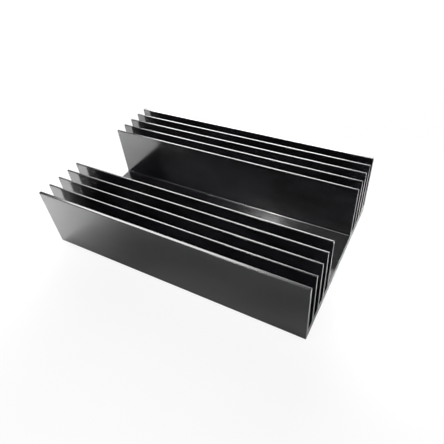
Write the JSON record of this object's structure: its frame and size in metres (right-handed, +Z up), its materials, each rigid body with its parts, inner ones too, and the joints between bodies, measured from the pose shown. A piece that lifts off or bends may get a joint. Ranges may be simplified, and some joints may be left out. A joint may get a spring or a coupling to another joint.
{
  "type": "extruded heat sink",
  "caption": "Black anodised aluminium heat sink, extruded in one piece: a flat base with upright tapered fins along both sides of a wide device channel.",
  "frame": {"origin": "centre of the flat underside", "axes": "+X along the extrusion, which is the longest extent; +Y across the fins; +Z up from the underside to the fin tips, which is the shortest extent"},
  "size_m": [0.15, 0.095, 0.036],
  "materials": {
    "black_anodised": "black anodised, satin"
  },
  "bodies": {
    "root": {"heat_sink": "black_anodised"}
  },
  "joints": []
}
